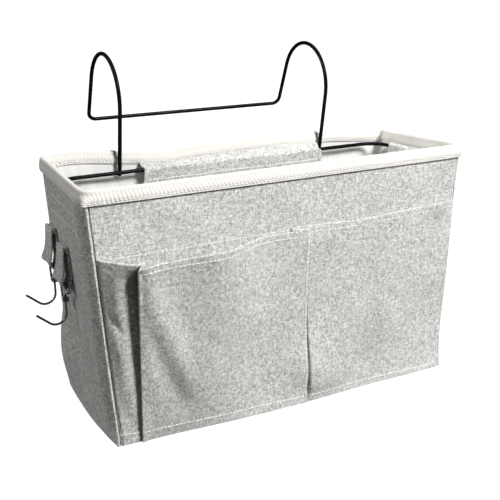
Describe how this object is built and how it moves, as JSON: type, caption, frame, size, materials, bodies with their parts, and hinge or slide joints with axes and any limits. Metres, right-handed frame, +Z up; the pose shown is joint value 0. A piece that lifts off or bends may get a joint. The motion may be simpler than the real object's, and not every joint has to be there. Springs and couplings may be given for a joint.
{
  "type": "bedside caddy",
  "caption": "Open-topped cloth caddy with front pockets and side hooks, held open by a wire hoop, with a bent wire hanger that hooks over a bed rail.",
  "frame": {"origin": "middle of the underside of the base", "axes": "+X along the front to the viewer's right, +Y to the back, where the hanger is, +Z up"},
  "size_m": [0.4273, 0.2595, 0.3355],
  "materials": {
    "linen": "coarse plain weave of grey and off-white yarns",
    "twill_tape": "herringbone twill tape, cream",
    "coated_lining": "white coated back of the cloth, slightly glossy",
    "board": "grey board",
    "black_wire": "gloss black coating",
    "hook_steel": "bright plated wire"
  },
  "bodies": {
    "caddy": {"front_panel": "linen", "back_panel": "linen", "left_panel": "linen", "right_panel": "linen", "bottom_panel": "linen", "front_lining": "coated_lining", "back_lining": "coated_lining", "left_lining": "coated_lining", "right_lining": "coated_lining", "bottom_lining": "coated_lining", "base_board": "board", "rim_binding": "twill_tape", "left_pocket": "linen", "right_pocket": "linen", "front_sleeve": "linen", "back_sleeve": "linen", "left_sleeve": "linen", "right_sleeve": "linen", "rim_wire": "black_wire", "hanger_wire": "black_wire", "front_strap": "linen", "rear_strap": "linen"},
    "front_hook": {"front_hook": "hook_steel"},
    "rear_hook": {"rear_hook": "hook_steel"}
  },
  "joints": [
    {"name": "front_hook_swing", "type": "hinge", "parent": "caddy", "child": "front_hook", "pos_m": [-0.19805, 0.014, 0.132], "axis": [0, 1, 0], "range_deg": [-6, 90]},
    {"name": "rear_hook_swing", "type": "hinge", "parent": "caddy", "child": "rear_hook", "pos_m": [-0.19861, 0.048, 0.141], "axis": [0, 1, 0], "range_deg": [-6, 90]}
  ]
}
